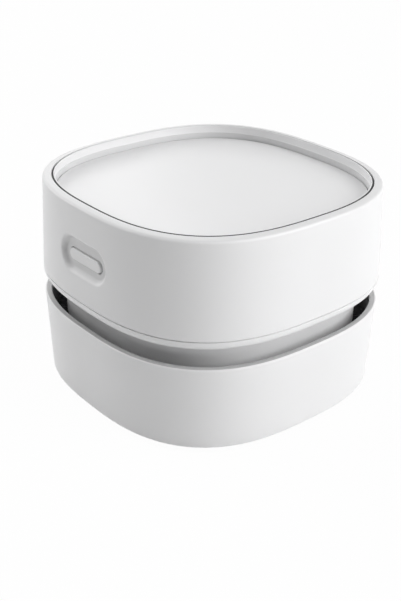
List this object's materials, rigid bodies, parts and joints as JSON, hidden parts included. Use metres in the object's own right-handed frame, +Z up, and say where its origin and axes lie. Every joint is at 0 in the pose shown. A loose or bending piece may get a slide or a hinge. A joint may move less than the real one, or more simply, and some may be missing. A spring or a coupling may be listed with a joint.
{
  "type": "desktop mini vacuum cleaner",
  "caption": "Desktop mini vacuum cleaner: square-round dust cup with brushes below, lift-off motor head with side button above, open air gap all round between them.",
  "frame": {"origin": "on the desk, under the middle of the object", "axes": "+Z up; the power button faces -Y and the charging socket +Y; +X to the right seen from the button side"},
  "size_m": [0.0834, 0.0834, 0.0575],
  "materials": {
    "white_shell": "satin",
    "gloss_panel": "polished",
    "grey_white_plastic": "satin",
    "black_plastic": "matte",
    "dark_rubber": "matte",
    "brush_nylon": "matte",
    "steel": "bright",
    "dark_plastic": "satin",
    "circuit_board": "satin",
    "battery_sleeve": "satin",
    "filter_cloth": "matte"
  },
  "bodies": {
    "base": {"base_shell": "white_shell", "bottom_plate": "white_shell", "exhaust_ring": "black_plastic", "cup_seal": "dark_rubber", "brush_front": "brush_nylon", "brush_back": "brush_nylon", "brush_left": "brush_nylon", "brush_right": "brush_nylon", "foot_back_right": "dark_rubber", "foot_back_left": "dark_rubber", "foot_front_left": "dark_rubber", "foot_front_right": "dark_rubber", "base_screw_back_right": "steel", "base_screw_back_left": "steel", "base_screw_front_left": "steel", "base_screw_front_right": "steel"},
    "head": {"head_shell": "white_shell", "lower_cover": "white_shell", "top_bezel": "white_shell", "rim_seal": "dark_rubber", "top_panel": "gloss_panel", "neck_housing": "grey_white_plastic", "intake_plate": "grey_white_plastic", "motor_can": "steel", "motor_end_cap": "dark_plastic", "motor_damper": "dark_rubber", "battery_cell": "battery_sleeve", "battery_cradle": "dark_plastic", "main_board": "circuit_board", "tact_switch": "dark_plastic", "charge_board": "circuit_board", "charging_socket": "steel", "cover_screw_back_right": "steel", "cover_screw_back_left": "steel", "cover_screw_front_left": "steel", "cover_screw_front_right": "steel"},
    "rotor": {"motor_shaft": "steel", "impeller": "dark_plastic"},
    "button": {"power_button": "white_shell", "switch_plunger": "dark_plastic"},
    "filter": {"filter_frame": "dark_plastic", "filter_pad": "filter_cloth"}
  },
  "joints": [
    {"name": "head_lift", "type": "slide", "parent": "base", "child": "head", "axis": [0, 0, 1], "range_m": [0, 0.03]},
    {"name": "fan_spin", "type": "hinge", "parent": "head", "child": "rotor", "pos_m": [0, 0, 0.022], "axis": [0, 0, 1], "continuous": true},
    {"name": "button_press", "type": "slide", "parent": "head", "child": "button", "axis": [0, 1, 0], "range_m": [0, 0.0008], "stiffness_N_per_m": 400},
    {"name": "filter_pull", "type": "slide", "parent": "head", "child": "filter", "axis": [0, 0, -1], "range_m": [0, 0.0034]}
  ]
}
